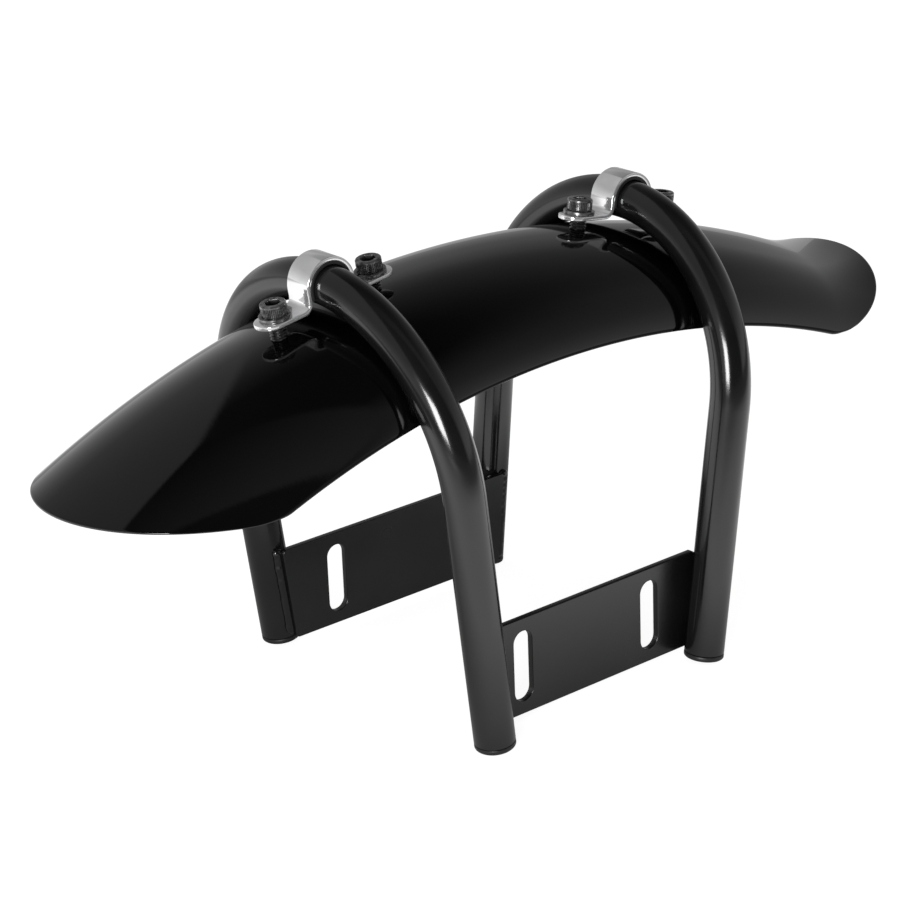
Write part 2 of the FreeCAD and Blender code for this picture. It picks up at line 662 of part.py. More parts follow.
def seat_under_blade(hoop, end_sign):
    """Level from the tube axis at which a flat washer on a screw first meets the blade's underside."""
    tilt = math.radians(hoop["sign"] * value("clamp_tilt"))
    radius = value("washer_diameter / 2")
    across = value("section_half_width - blade_thickness")
    down = value("section_depth - blade_thickness")
    crown = value("blade_radius - blade_thickness")
    centre_x = value(hoop["x"]) - value(BLADE_X)
    centre_z = value(CROWN_OVER_BLADE) + value("blade_radius")
    levels = []
    for step in range(RIM_STEPS):
        turn = 2 * math.pi * step / RIM_STEPS
        along = end_sign * value("screw_spacing / 2") + radius * math.cos(turn)
        sag = down * (1 - math.sqrt(1 - (radius * math.sin(turn) / across) ** 2))
        a = centre_x + math.cos(tilt) * along
        b = centre_z - math.sin(tilt) * along
        half = a * math.sin(tilt) + b * math.cos(tilt)
        levels.append(math.sqrt(half ** 2 - a ** 2 - b ** 2 + (crown - sag) ** 2) - half)
    return min(levels) - value("fit_gap")


def make_washer(label, hoop, end_sign):
    """A flat washer under the blade."""
    body = new_body(label)
    ring = new_sketch(body, "XY_Plane", "Ring")
    circle(ring, "washer_diameter / 2")
    circle(ring, "screw_diameter / 2 + fit_gap")
    pad(body, ring, "washer_thickness")
    place_on_screw(body, hoop, end_sign, f"{seat_under_blade(hoop, end_sign)} - washer_thickness")


def make_nut(label, hoop, end_sign):
    """A hexagon nut under the flat washer."""
    body = new_body(label)
    outline = new_sketch(body, "XY_Plane", "Outline")
    hexagon(outline, "nut_width")
    circle(outline, "screw_diameter / 2 + fit_gap")
    pad(body, outline, "nut_height")
    seat = seat_under_blade(hoop, end_sign)
    place_on_screw(body, hoop, end_sign, f"{seat} - washer_thickness - nut_height")


make_blade()
for hoop_name, hoop_data in HOOPS.items():
    make_hoop(hoop_name, hoop_data)
    make_clamp(hoop_name, hoop_data)
    make_liner(hoop_name, hoop_data)
    for side_name, side_sign in SIDES.items():
        make_plug(hoop_name, hoop_data, side_name, side_sign)
    for end_name, end_side in ENDS.items():
        make_screw(f"{hoop_name}_{end_name}_screw", hoop_data, end_side)
        make_lock_washer(f"{hoop_name}_{end_name}_lock_washer", hoop_data, end_side)
        make_washer(f"{hoop_name}_{end_name}_washer", hoop_data, end_side)
        make_nut(f"{hoop_name}_{end_name}_nut", hoop_data, end_side)
for side_name, side_sign in SIDES.items():
    make_plate(side_name, side_sign)
doc.recompute()

# Nothing is written unless every object is sound
for item in doc.Objects:
    if "Invalid" in item.State or "Error" in item.State:
        raise RuntimeError(f"{item.Name} ({item.Label}) did not build: {item.State}")
for label, body in parts.items():
    shape = body.Shape
    if shape.isNull() or not shape.isValid() or len(shape.Solids) != 1:
        raise RuntimeError(f"{label} is not one sound solid")

os.makedirs("parts", exist_ok=True)
for label, body in parts.items():
    body.Shape.exportStep(f"parts/{label}.step")
    box = body.Shape.BoundBox
    print(f"{label}: {body.Shape.Volume / 1000:.2f} cm3, z {box.ZMin:.2f} to {box.ZMax:.2f}")
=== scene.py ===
import math

import bmesh
import bpy
from mathutils import Matrix, Vector, noise


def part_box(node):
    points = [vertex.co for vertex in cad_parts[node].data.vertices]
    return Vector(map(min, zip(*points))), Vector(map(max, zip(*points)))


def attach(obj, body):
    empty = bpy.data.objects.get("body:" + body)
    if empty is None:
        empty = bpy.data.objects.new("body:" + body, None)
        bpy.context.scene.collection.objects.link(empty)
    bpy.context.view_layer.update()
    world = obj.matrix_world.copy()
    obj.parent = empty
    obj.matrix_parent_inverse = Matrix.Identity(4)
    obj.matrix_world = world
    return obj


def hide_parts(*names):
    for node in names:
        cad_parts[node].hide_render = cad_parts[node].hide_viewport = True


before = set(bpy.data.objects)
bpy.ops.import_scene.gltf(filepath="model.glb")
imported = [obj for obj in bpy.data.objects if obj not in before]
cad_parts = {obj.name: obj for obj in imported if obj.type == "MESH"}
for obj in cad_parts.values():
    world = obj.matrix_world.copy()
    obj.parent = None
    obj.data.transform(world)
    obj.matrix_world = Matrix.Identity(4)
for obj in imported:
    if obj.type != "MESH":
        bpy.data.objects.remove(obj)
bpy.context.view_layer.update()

# Sizes of the solids, in millimetres and radians. Meshes are drawn in millimetres and stored in metres.
MM = 0.001
TUBE_RADIUS = 9.525
BEND_RADIUS = 82.0
TOE = math.radians(0.9)
CROWN_HEIGHT = 206.3
PLUG_FLANGE = 2.6
PLUG_CHAMFER = 0.8
PLATE_THICKNESS = 3.4
PLATE_HEIGHT = 47.5
PLATE_LIFT = 4.0
PLATE_CORNER = 2.0
PLATE_FRONT_SETBACK = 0.5
PLATE_REAR_SETBACK = 2.0
SLOT_WIDTH = 11.0
SLOT_LENGTH = 35.0
SLOT_SPACING = 78.5
BLADE_THICKNESS = 2.0
BLADE_RADIUS = 489.9
SECTION_HALF_WIDTH = 65.8
SECTION_DEPTH = 43.0
RIM_ANGLE = math.radians(80.0)
NOSE_ANGLE = math.radians(28.9)
BACK_ANGLE = math.radians(22.6)
TAIL_RADIUS = 172.7
TAIL_ANGLE = math.radians(17.4)
NOSE_CUT = math.radians(4.7)
TAIL_CUT = math.radians(31.5)
TAIL_CUT_RADIUS = 134.0
BLADE_CLEARANCE = 4.4
FRONT_REACH = 90.5
REAR_REACH = 89.5
STRAP_WIDTH = 15.0
STRAP_THICKNESS = 2.0
STRAP_BEND = 3.0
LINER_THICKNESS = 1.4
EAR_LEVEL = 8.4
EAR_MARGIN = 10.2
CLAMP_TILT = math.radians(8.5)
SCREW_SPACING = 53.6
SCREW_RADIUS = 3.97
SCREW_LENGTH = 25.4
HEAD_RADIUS = 5.95
HEAD_HEIGHT = 5.6
SOCKET_WIDTH = 6.35
SOCKET_DEPTH = 3.4
LOCK_RADIUS = 7.4
LOCK_THICKNESS = 2.0
LOCK_SPLIT = 1.3
LOCK_SLOPE = math.radians(25.0)
WASHER_RADIUS = 8.75
WASHER_THICKNESS = 1.6
NUT_WIDTH = 12.7
NUT_HEIGHT = 6.7
FIT_GAP = 0.1
HEX_START = math.radians(15.0)

# Places worked out from the sizes
NOSE_REACH = BLADE_RADIUS * math.sin(NOSE_ANGLE)
TAIL_CENTRE_X = -(BLADE_RADIUS + TAIL_RADIUS) * math.sin(BACK_ANGLE)
TAIL_CENTRE_Z = (BLADE_RADIUS + TAIL_RADIUS) * math.cos(BACK_ANGLE) - BLADE_RADIUS
TAIL_REACH = -TAIL_CENTRE_X - TAIL_RADIUS * math.sin(BACK_ANGLE - TAIL_ANGLE)
BLADE_X = (TAIL_REACH - NOSE_REACH) / 2
CROWN_DROP = BLADE_RADIUS - math.sqrt(BLADE_RADIUS ** 2 - FRONT_REACH ** 2)
BLADE_Z = CROWN_HEIGHT - TUBE_RADIUS - BLADE_CLEARANCE + CROWN_DROP
BEND_END = BEND_RADIUS * (1 + math.sin(TOE))
EAR_TOP = STRAP_THICKNESS - EAR_LEVEL
FLANK_LEVEL = EAR_TOP + STRAP_BEND
STRAP_INNER = TUBE_RADIUS + LINER_THICKNESS + 2 * FIT_GAP
HOOPS = {
    "front": {"x": BLADE_X + FRONT_REACH, "lean": math.radians(6.5), "sign": 1},
    "rear": {"x": BLADE_X - REAR_REACH, "lean": math.radians(7.1), "sign": -1},
}
SIDES = {"left": 1, "right": -1}
ENDS = {"fore": 1, "aft": -1}


# Mesh helpers: the most of a side that a rounded corner takes, and degrees past which an edge is sharp
CORNER_SHARE = 0.48
CREASE = 32
FINE_CREASE = 25


def skin(rings, closed=True, looped=False, caps=True):
    """Points and faces of the surface through rings of equal count."""
    points = [point for ring in rings for point in ring]
    count = len(rings[0])
    faces = []
    steps = len(rings) if looped else len(rings) - 1
    for row in range(steps):
        here = row * count
        there = (row + 1) % len(rings) * count
        for column in range(count if closed else count - 1):
            after = (column + 1) % count
            faces.append((here + column, here + after, there + after, there + column))
    if caps and not looped:
        faces.append(tuple(reversed(range(count))))
        faces.append(tuple(range(len(points) - count, len(points))))
    return points, faces


def joined(*parts):
    """One list of points and one of faces from several."""
    points = []
    faces = []
    for more_points, more_faces in parts:
        shift = len(points)
        points.extend(more_points)
        faces.extend(tuple(index + shift for index in face) for face in more_faces)
    return points, faces


def spokes(count, start=0.0):
    """Angles of equal steps round a circle."""
    return [start + 2 * math.pi * step / count for step in range(count)]


def level_ring(radii, angles, z):
    """Points at one height, from the radius at each angle."""
    return [Vector((r * math.cos(a), r * math.sin(a), z)) for r, a in zip(radii, angles)]


def turned(profile, count):
    """Rings of a turned shape from its outline of radius and height."""
    angles = spokes(count)
    return [level_ring([radius] * count, angles, z) for radius, z in profile]


def rounded(corners, radius, steps):
    """A closed flat outline with its corners rounded, each over no more than its share of a side."""
    outline = []
    for index, corner in enumerate(corners):
        here = Vector(corner)
        back = Vector(corners[index - 1]) - here
        ahead = Vector(corners[(index + 1) % len(corners)]) - here
        half = back.angle(ahead) / 2
        room = CORNER_SHARE * min(back.length, ahead.length)
        run = min(radius / math.tan(half), room)
        first = here + back.normalized() * run
        last = here + ahead.normalized() * run
        centre = here + (back.normalized() + ahead.normalized()).normalized() * (run / math.cos(half))
        for step in range(steps + 1):
            spoke = (first - centre).lerp(last - centre, step / steps).normalized()
            outline.append(centre + spoke * (run * math.tan(half)))
    return [(point.x, point.y) for point in outline]


def add_piece(name, shape, material, nodes=(), place=None, crease=CREASE):
    """Makes a piece of the object from points and faces."""
    points, faces = shape
    mesh = bpy.data.meshes.new(name)
    place = place or Matrix.Identity(4)
    mesh.from_pydata([(place @ Vector(point)) * MM for point in points], [], faces)
    work = bmesh.new()
    work.from_mesh(mesh)
    bmesh.ops.recalc_face_normals(work, faces=work.faces)
    work.to_mesh(mesh)
    work.free()
    return finish_piece(name, mesh, material, nodes, crease)


def finish_piece(name, mesh, material, nodes, crease):
    """Shades a mesh, gives it its material and lets it ride on the body."""
    mesh.shade_smooth()
    mesh.set_sharp_from_angle(angle=math.radians(crease))
    mesh.materials.clear()
    mesh.materials.append(material)
    piece = bpy.data.objects.new(name, mesh)
    bpy.context.scene.collection.objects.link(piece)
    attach(piece, "root")
    if nodes:
        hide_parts(*nodes)
    return piece


# Materials
def new_material(name):
    """A node material and its tree and shader."""
    material = bpy.data.materials.new(name)
    material.use_nodes = True
    tree = material.node_tree
    return material, tree, tree.nodes["Principled BSDF"]


def texture(tree, kind, scale, **inputs):
    """A texture in the object's own coordinates, in metres."""
    place = tree.nodes.new("ShaderNodeTexCoord")
    node = tree.nodes.new(kind)
    node.inputs["Scale"].default_value = scale
    for key, number in inputs.items():
        node.inputs[key].default_value = number
    tree.links.new(place.outputs["Object"], node.inputs["Vector"])
    return node.outputs[0]


def spread(tree, source, low, high, start=0.3, end=0.7, clamp=True):
    """Maps a texture onto a range of numbers."""
    node = tree.nodes.new("ShaderNodeMapRange")
    node.inputs["From Min"].default_value = start
    node.inputs["From Max"].default_value = end
    node.inputs["To Min"].default_value = low
    node.inputs["To Max"].default_value = high
    node.clamp = clamp
    tree.links.new(source, node.inputs["Value"])
    return node.outputs["Result"]


def combined(tree, operation, first, second):
    """Two numbers of a node tree put together by a sum, product or maximum."""
    node = tree.nodes.new("ShaderNodeMath")
    node.operation = operation
    tree.links.new(first, node.inputs[0])
    tree.links.new(second, node.inputs[1])
    return node.outputs[0]


def tint(tree, source, colours, start=0.3, end=0.7):
    """Maps a texture onto a run of colours."""
    node = tree.nodes.new("ShaderNodeValToRGB")
    ramp = node.color_ramp
    ramp.elements[0].position = start
    ramp.elements[1].position = end
    for element, colour in zip(ramp.elements, colours):
        element.color = (*colour, 1)
    tree.links.new(source, node.inputs["Fac"])
    return node.outputs["Color"]


def bump(tree, shader, source, strength, distance, normal=None):
    """Raises the surface by a texture."""
    node = tree.nodes.new("ShaderNodeBump")
    node.inputs["Strength"].default_value = strength
    node.inputs["Distance"].default_value = distance
    tree.links.new(source, node.inputs["Height"])
    if normal:
        tree.links.new(normal, node.inputs["Normal"])
    tree.links.new(node.outputs["Normal"], shader.inputs["Normal"])
    return node.outputs["Normal"]


def gloss_paint():
    """Deep black gloss paint with a trace of orange peel and polish haze."""
    material, tree, shader = new_material("gloss_black_paint")
    haze = texture(tree, "ShaderNodeTexNoise", 22, Detail=4)
    peel = texture(tree, "ShaderNodeTexNoise", 420, Detail=2)
    colour = tint(tree, haze, ((0.0008, 0.0008, 0.0008), (0.0015, 0.0014, 0.0015)))
    tree.links.new(colour, shader.inputs["Base Color"])
    tree.links.new(spread(tree, haze, 0.03, 0.075), shader.inputs["Roughness"])
    bump(tree, shader, peel, 0.03, 0.0002)
    return material


def powder_coat(name, rough, smooth):
    """Semi-gloss black powder coat with its fine pebble."""
    material, tree, shader = new_material(name)
    cloud = texture(tree, "ShaderNodeTexNoise", 35, Detail=5)
    pebble = texture(tree, "ShaderNodeTexNoise", 900, Detail=3)
    wave = texture(tree, "ShaderNodeTexNoise", 260, Detail=2)
    colour = tint(tree, cloud, ((0.004, 0.004, 0.0041), (0.0075, 0.0074, 0.0075)))
    tree.links.new(colour, shader.inputs["Base Color"])
    tree.links.new(spread(tree, cloud, smooth, rough), shader.inputs["Roughness"])
    first = bump(tree, shader, wave, 0.05, 0.0003)
    bump(tree, shader, pebble, 0.06, 0.0001, first)
    shader.inputs["Specular IOR Level"].default_value = 0.65
    return material


def chrome():
    """Bright plating, a little hazy where it was handled."""
    material, tree, shader = new_material("bright_chrome_plate")
    smear = texture(tree, "ShaderNodeTexNoise", 160, Detail=5)
    ripple = texture(tree, "ShaderNodeTexNoise", 240, Detail=2)
    colour = tint(tree, smear, ((0.86, 0.86, 0.87), (0.93, 0.93, 0.94)))
    tree.links.new(colour, shader.inputs["Base Color"])
    tree.links.new(spread(tree, smear, 0.05, 0.12), shader.inputs["Roughness"])
    bump(tree, shader, ripple, 0.025, 0.0002)
    shader.inputs["Metallic"].default_value = 0.78
    return material


def dark_steel():
    """Black-oxide steel, grey where it is rubbed, with painted shade darkening its recesses."""
    material, tree, shader = new_material("dark_oxide_steel")
    rub = texture(tree, "ShaderNodeTexNoise", 420, Detail=6)
    grain = texture(tree, "ShaderNodeTexNoise", 1800, Detail=3)
    # Painted shade: an occlusion factor darkens sockets, knurl grooves and thread roots, and keeps the
    # rubbed grey off them
    painted_recess_shade = tree.nodes.new("ShaderNodeAmbientOcclusion")
    painted_recess_shade.samples = 6
    painted_recess_shade.only_local = True
    painted_recess_shade.inputs["Distance"].default_value = 0.004
    worn_and_shaded = combined(tree, "MULTIPLY", rub, spread(tree, painted_recess_shade.outputs["AO"], 0.0, 1.1, 0.25, 0.95))
    colour = tint(tree, worn_and_shaded, ((0.015, 0.015, 0.016), (0.30, 0.30, 0.305)), 0.25, 0.75)
    tree.links.new(colour, shader.inputs["Base Color"])
    tree.links.new(spread(tree, rub, 0.36, 0.20), shader.inputs["Roughness"])
    bump(tree, shader, grain, 0.12, 0.0001)
    shader.inputs["Metallic"].default_value = 0.85
    return material


def moulded(name, low, high, roughness, scale, strength):
    """A dull moulded black, as of rubber or plastic."""
    material, tree, shader = new_material(name)
    cloud = texture(tree, "ShaderNodeTexNoise", 120, Detail=4)
    grain = texture(tree, "ShaderNodeTexVoronoi", scale)
    tree.links.new(tint(tree, cloud, ((low,) * 3, (high,) * 3)), shader.inputs["Base Color"])
    tree.links.new(spread(tree, cloud, roughness - 0.08, roughness + 0.08), shader.inputs["Roughness"])
    bump(tree, shader, grain, strength, 0.0002)
    return material


PAINT = gloss_paint()
TUBE_COAT = powder_coat("tube_powder_coat", 0.19, 0.13)
PLATE_COAT = powder_coat("plate_powder_coat", 0.28, 0.20)
CHROME = chrome()
STEEL = dark_steel()
RUBBER = moulded("black_rubber_strip", 0.006, 0.014, 0.62, 1500, 0.12)
PLASTIC = moulded("black_plug_plastic", 0.008, 0.016, 0.42, 2200, 0.08)


# Blade
def crown_point(run):
    """Place and upward normal on the crown line, run millimetres of arc ahead of its highest point."""
    back = -BLADE_RADIUS * BACK_ANGLE
    if run >= back:
        angle = run / BLADE_RADIUS
        up = Vector((math.sin(angle), 0, math.cos(angle)))
        return up * BLADE_RADIUS - Vector((0, 0, BLADE_RADIUS)), up
    angle = BACK_ANGLE - (back - run) / TAIL_RADIUS
    up = Vector((-math.sin(angle), 0, math.cos(angle)))
    return Vector((TAIL_CENTRE_X, 0, TAIL_CENTRE_Z)) - up * TAIL_RADIUS, up


def blade_point(run, angle, depth):
    """A point of the sheet: along the crown line, round the section, and in from the outer face."""
    place, up = crown_point(run)
    across = (SECTION_HALF_WIDTH - depth) * math.sin(angle)
    drop = SECTION_DEPTH - (SECTION_DEPTH - depth) * math.cos(angle)
    return place - up * drop + Vector((0, across, 0))


def past_nose(point):
    """How far a point lies under the plane that trims the nose."""
    tip = crown_point(BLADE_RADIUS * NOSE_ANGLE)[0]
    return (tip.z - point.z) * math.cos(NOSE_CUT) - (tip.x - point.x) * math.sin(NOSE_CUT)


def past_tail(point):
    """How far a point lies outside the arc that trims the tail."""
    tip = crown_point(-BLADE_RADIUS * BACK_ANGLE - TAIL_RADIUS * TAIL_ANGLE)[0]
    centre_x = tip.x + TAIL_CUT_RADIUS * math.sin(TAIL_CUT)
    centre_z = tip.z + TAIL_CUT_RADIUS * math.cos(TAIL_CUT)
    return math.hypot(point.x - centre_x, point.z - centre_z) - TAIL_CUT_RADIUS


def trimmed_run(angle, past, inside, outside):
    """Run along the crown line at which a trim cuts the outer face at a section angle."""
    halvings = 40
    for _ in range(halvings):
        middle = (inside + outside) / 2
        if past(blade_point(middle, angle, 0)) > 0:
            outside = middle
        else:
            inside = middle
    return inside


def blade_shape():
    """A closed sheet with rounded rims; its corners are rounded where sides and ends meet."""
    rows, columns = 200, 72
    corner = 7.0
    crowding = 0.06
    lip, lip_middle = 0.7, 0.2
    search_in, search_out = 150, 5
    nose_end = BLADE_RADIUS * NOSE_ANGLE
    tail_end = -BLADE_RADIUS * BACK_ANGLE - TAIL_RADIUS * TAIL_ANGLE
    arc_at_rim = math.hypot(
        SECTION_HALF_WIDTH * math.cos(RIM_ANGLE),
        SECTION_DEPTH * math.sin(RIM_ANGLE),
    )
    ends = {}

    def end_runs(angle):
        """Runs at which the sheet ends, tail and nose, at a section angle."""
        key = round(abs(angle), 6)
        if key not in ends:
            nose = trimmed_run(key, past_nose, nose_end - search_in, nose_end + search_out)
            tail = trimmed_run(key, past_tail, tail_end + search_in, tail_end - search_out)
            ends[key] = (tail, nose)
        return ends[key]

    # A row's share of the length; rows crowd together towards the ends
    turns = [math.pi * (crowding + (1 - 2 * crowding) * row / rows) for row in range(rows + 1)]
    shares = [0.5 - 0.5 * math.cos(turn) for turn in turns]
    shares = [(share - shares[0]) / (shares[-1] - shares[0]) for share in shares]

    def sheet_point(row, column, inset, depth):
        """A point of the sheet's grid, drawn in from the rim and from the outer face."""
        tail, nose = end_runs(RIM_ANGLE)
        length = (nose - tail) * shares[row]
        near = max(0.0, corner - min(length, nose - tail - length))
        pull = corner - math.sqrt(corner ** 2 - near ** 2)
        limit = RIM_ANGLE - (pull + inset) / arc_at_rim
        angle = limit * (2 * column / columns - 1)
        tail, nose = end_runs(angle)
        return blade_point(tail + inset + (nose - tail - 2 * inset) * shares[row], angle, depth)

    def sheet(inset, depth):
        """All rows of one face."""
        return [
            [sheet_point(row, column, inset, depth) for column in range(columns + 1)]
            for row in range(rows + 1)
        ]

    edge = [(0, column) for column in range(columns)]
    edge += [(row, columns) for row in range(rows)]
    edge += [(rows, column) for column in range(columns, 0, -1)]
    edge += [(row, 0) for row in range(rows, 0, -1)]
    rim = [(lip, 0.0), (lip_middle, lip_middle), (0.0, lip)]
    rim += [(inset, BLADE_THICKNESS - depth) for inset, depth in reversed(rim)]
    outer = skin(sheet(lip, 0.0), closed=False, caps=False)
    inner = skin(sheet(lip, BLADE_THICKNESS), closed=False, caps=False)
    loops = [[sheet_point(row, column, inset, depth) for row, column in edge] for inset, depth in rim]
    return joined(outer, inner, skin(loops, caps=False))


def welded(shape, reach=0.001):
    """The shape with points that fall together made one."""
    points, faces = shape
    seen = {}
    index_of = []
    kept = []
    for point in points:
        key = tuple(round(number / reach) for number in point)
        if key not in seen:
            seen[key] = len(kept)
            kept.append(point)
        index_of.append(seen[key])
    return kept, [tuple(index_of[index] for index in face) for face in faces]


blade_place = Matrix.Translation((BLADE_X, 0, BLADE_Z))
blade = welded(blade_shape())
add_piece("blade_sheet", blade, PAINT, ["fender_blade"], blade_place, crease=50)


# Hoops and plugs
def hoop_frame(hoop, angle):
    """The frame at a hoop's crown, turned about Y, nose down at the front and up at the rear."""
    turn = Matrix.Rotation(hoop["sign"] * angle, 4, "Y")
    return Matrix.Translation((hoop["x"], 0, CROWN_HEIGHT)) @ turn


def leg_y(depth):
    """Middle of a leg from the centre plane at a depth below the crown."""
    return BEND_RADIUS * math.cos(TOE) - (depth - BEND_END) * math.tan(TOE)


def tube_end_depth(lean):
    """Depth below the crown, in the hoop's plane, at which a leg ends and its plug begins."""
    slant = math.sqrt(1 - (math.cos(lean) * math.cos(TOE)) ** 2)
    foot = (CROWN_HEIGHT - (TUBE_RADIUS - PLUG_CHAMFER) * slant) / math.cos(lean)
    return foot - PLUG_FLANGE * math.cos(TOE)


def hoop_shape(hoop):
    """The bent tube, with its cut ends softened."""
    leg_steps, bend_steps, count = 4, 96, 56
    soft, bulge = 0.45, 0.14
    depth = tube_end_depth(hoop["lean"])
    leg_out = Vector((0, math.cos(TOE), -math.sin(TOE)))
    stations = []
    for step in range(leg_steps + 1):
        level = depth + (BEND_END - depth) * step / leg_steps
        stations.append((Vector((0, leg_y(level), -level)), leg_out))
    for step in range(1, bend_steps):
        angle = -TOE + (math.pi + 2 * TOE) * step / bend_steps
        out = Vector((0, math.cos(angle), math.sin(angle)))
        stations.append((Vector((0, 0, -BEND_RADIUS)) + out * BEND_RADIUS, out))
    for place, out in reversed(stations[:leg_steps + 1]):
        stations.append((Vector((0, -place.y, place.z)), Vector((0, -out.y, out.z))))
    rings = []
    for place, out in stations:
        rings.append([
            place + out * (TUBE_RADIUS * math.cos(turn)) + Vector((TUBE_RADIUS * math.sin(turn), 0, 0))
            for turn in spokes(count)
        ])
    for end, inward in ((0, 1), (-1, -1)):
        along = (stations[end + inward][0] - stations[end][0]).normalized()
        middle = stations[end][0]
        face = [middle + (point - middle) * (1 - soft / TUBE_RADIUS) for point in rings[end]]
        edge = [point + along * soft for point in rings[end]]
        half = [(a + b) / 2 + (b - middle).normalized() * (bulge * soft) for a, b in zip(face, edge)]
        if end == 0:
            rings[0:1] = [face, half, edge]
        else:
            rings[-1:] = [edge, half, face]
    return skin(rings)


def plug_shape():
    """The plug's rim, with a shallow dish underneath."""
    rim = TUBE_RADIUS
    foot = -PLUG_FLANGE
    top = -0.05
    dish_floor = foot + 0.5
    dish = [(2.0, dish_floor), (5.2, dish_floor), (5.8, foot + 0.35), (6.3, foot)]
    foot_edge = [(rim - 1.0, foot), (rim - 0.5, foot + 0.12), (rim - 0.15, foot + 0.45)]
    side = [(rim, foot + PLUG_CHAMFER), (rim, -0.5)]
    top_edge = [(rim - 0.15, -0.2), (rim - 0.45, top), (7.0, top)]
    return skin(turned(dish + foot_edge + side + top_edge, 64))


for hoop_name, hoop in HOOPS.items():
    place = hoop_frame(hoop, hoop["lean"])
    node = f"{hoop_name}_hoop"
    add_piece(f"{node}_tube", hoop_shape(hoop), TUBE_COAT, [node], place)
    depth = tube_end_depth(hoop["lean"])
    for side, y_sign in SIDES.items():
        end = Matrix.Translation((0, y_sign * leg_y(depth), -depth))
        end = end @ Matrix.Rotation(-y_sign * TOE, 4, "X")
        node = f"{hoop_name}_{side}_plug"
        add_piece(f"{node}_cap", plug_shape(), PLASTIC, [node], place @ end)


# Side plates
def leg_x(name, height):
    """A leg's axis at a height above the floor."""
    hoop = HOOPS[name]
    return hoop["x"] - hoop["sign"] * (CROWN_HEIGHT - height) * math.tan(hoop["lean"])


def inset_outline(corners, inset):
    """A convex outline drawn in by a distance."""
    lines = []
    for index, corner in enumerate(corners):
        here = Vector(corner)
        along = (Vector(corners[(index + 1) % len(corners)]) - here).normalized()
        lines.append((here + Vector((-along.y, along.x)) * inset, along))
    result = []
    for index, (here, along) in enumerate(lines):
        before, back = lines[index - 1]
        cross = back.x * along.y - back.y * along.x
        gap = here - before
        result.append(tuple(before + back * ((gap.x * along.y - gap.y * along.x) / cross)))
    return result


def slot_outline(x, z, radius):
    """An upright slot with round ends."""
    half = (SLOT_LENGTH - SLOT_WIDTH) / 2
    steps = 20
    outline = []
    for centre, start in ((z + half, 0.0), (z - half, math.pi)):
        for step in range(steps + 1):
            angle = start + math.pi * step / steps
            outline.append((x + radius * math.cos(angle), centre + radius * math.sin(angle)))
    return outline


PLATE_DEPTH = (CROWN_HEIGHT - PLATE_LIFT) / math.cos(max(hoop["lean"] for hoop in HOOPS.values()))
PLATE_FACE = leg_y(PLATE_DEPTH) - TUBE_RADIUS / math.cos(TOE) - FIT_GAP
PLATE_TOP = PLATE_LIFT + PLATE_HEIGHT
PLATE_MIDDLE = PLATE_LIFT + PLATE_HEIGHT / 2


def plate_mesh(name, y_sign):
    """A plate with softened edges, drawn as a flat filled outline with two slots and given thickness."""
    soft = 0.35
    corner_steps = 6
    ends = [("rear", PLATE_REAR_SETBACK), ("front", -PLATE_FRONT_SETBACK)]
    corners = [(leg_x(leg, PLATE_LIFT) + setback, PLATE_LIFT) for leg, setback in ends]
    corners += [(leg_x(leg, PLATE_TOP) + setback, PLATE_TOP) for leg, setback in reversed(ends)]
    outlines = [rounded(inset_outline(corners, soft), PLATE_CORNER - soft, corner_steps)]
    centre = (leg_x("front", PLATE_MIDDLE) + leg_x("rear", PLATE_MIDDLE)) / 2
    radius = SLOT_WIDTH / 2 + soft
    for sign in (1, -1):
        outlines.append(slot_outline(centre + sign * SLOT_SPACING / 2, PLATE_MIDDLE, radius))
    curve = bpy.data.curves.new(name, "CURVE")
    curve.dimensions = "2D"
    curve.fill_mode = "BOTH"
    curve.extrude = (PLATE_THICKNESS / 2 - soft) * MM
    curve.bevel_depth = soft * MM
    curve.bevel_resolution = 2
    for outline in outlines:
        spline = curve.splines.new("POLY")
        spline.points.add(len(outline) - 1)
        for point, (x, z) in zip(spline.points, outline):
            point.co = (x * MM, z * MM, 0, 1)
        spline.use_cyclic_u = True
    drawn = bpy.data.objects.new(name, curve)
    bpy.context.scene.collection.objects.link(drawn)
    graph = bpy.context.evaluated_depsgraph_get()
    mesh = bpy.data.meshes.new_from_object(drawn.evaluated_get(graph))
    bpy.data.objects.remove(drawn)
    # The drawing lies flat; this stands it up in the plate's place
    middle = y_sign * (PLATE_FACE - PLATE_THICKNESS / 2) * MM
    mesh.transform(Matrix(((1, 0, 0, 0), (0, 0, -1, middle), (0, 1, 0, 0), (0, 0, 0, 1))))
    return mesh


def weld_shape(leg, y_sign, seed):
    """A rippled bead along a plate's end, thicker where it starts and stops."""
    hoop = HOOPS[leg]
    low, high = PLATE_LIFT + 1.5, PLATE_TOP + 0.4
    half_width, half_height = 2.7, 1.75
    ahead, sunk = 0.4, 0.55
    ripples = 13
    knob, knob_start = 0.22, 0.75
    tip = 0.05
    rows, count = 90, 20
    rings = []
    for row in range(rows + 1):
        share = row / rows
        height = low + (high - low) * share
        depth = (CROWN_HEIGHT - height) / math.cos(hoop["lean"])
        wobble = noise.noise(Vector((share * 9, seed, 0.3)))
        ripple = 0.5 + 0.5 * math.sin(2 * math.pi * share * ripples + 2 * wobble)
        off_middle = abs(2 * share - 1)
        ends = math.sqrt(max(0.0, 1 - off_middle ** 16))
        swell = 1 + knob * max(0.0, off_middle - knob_start) / (1 - knob_start)
        size = (0.92 + 0.06 * ripple + 0.08 * wobble) * swell * max(ends, tip)
        x = leg_x(leg, height) + hoop["sign"] * (ahead + 0.25 * wobble)
        y = leg_y(depth) - TUBE_RADIUS - sunk
        ring = []
        for turn in spokes(count):
            across = half_width * size * math.cos(turn)
            out = half_height * size * math.sin(turn)
            ring.append(Vector((x + across, y_sign * (y + out), height)))
        rings.append(ring)
    return skin(rings)


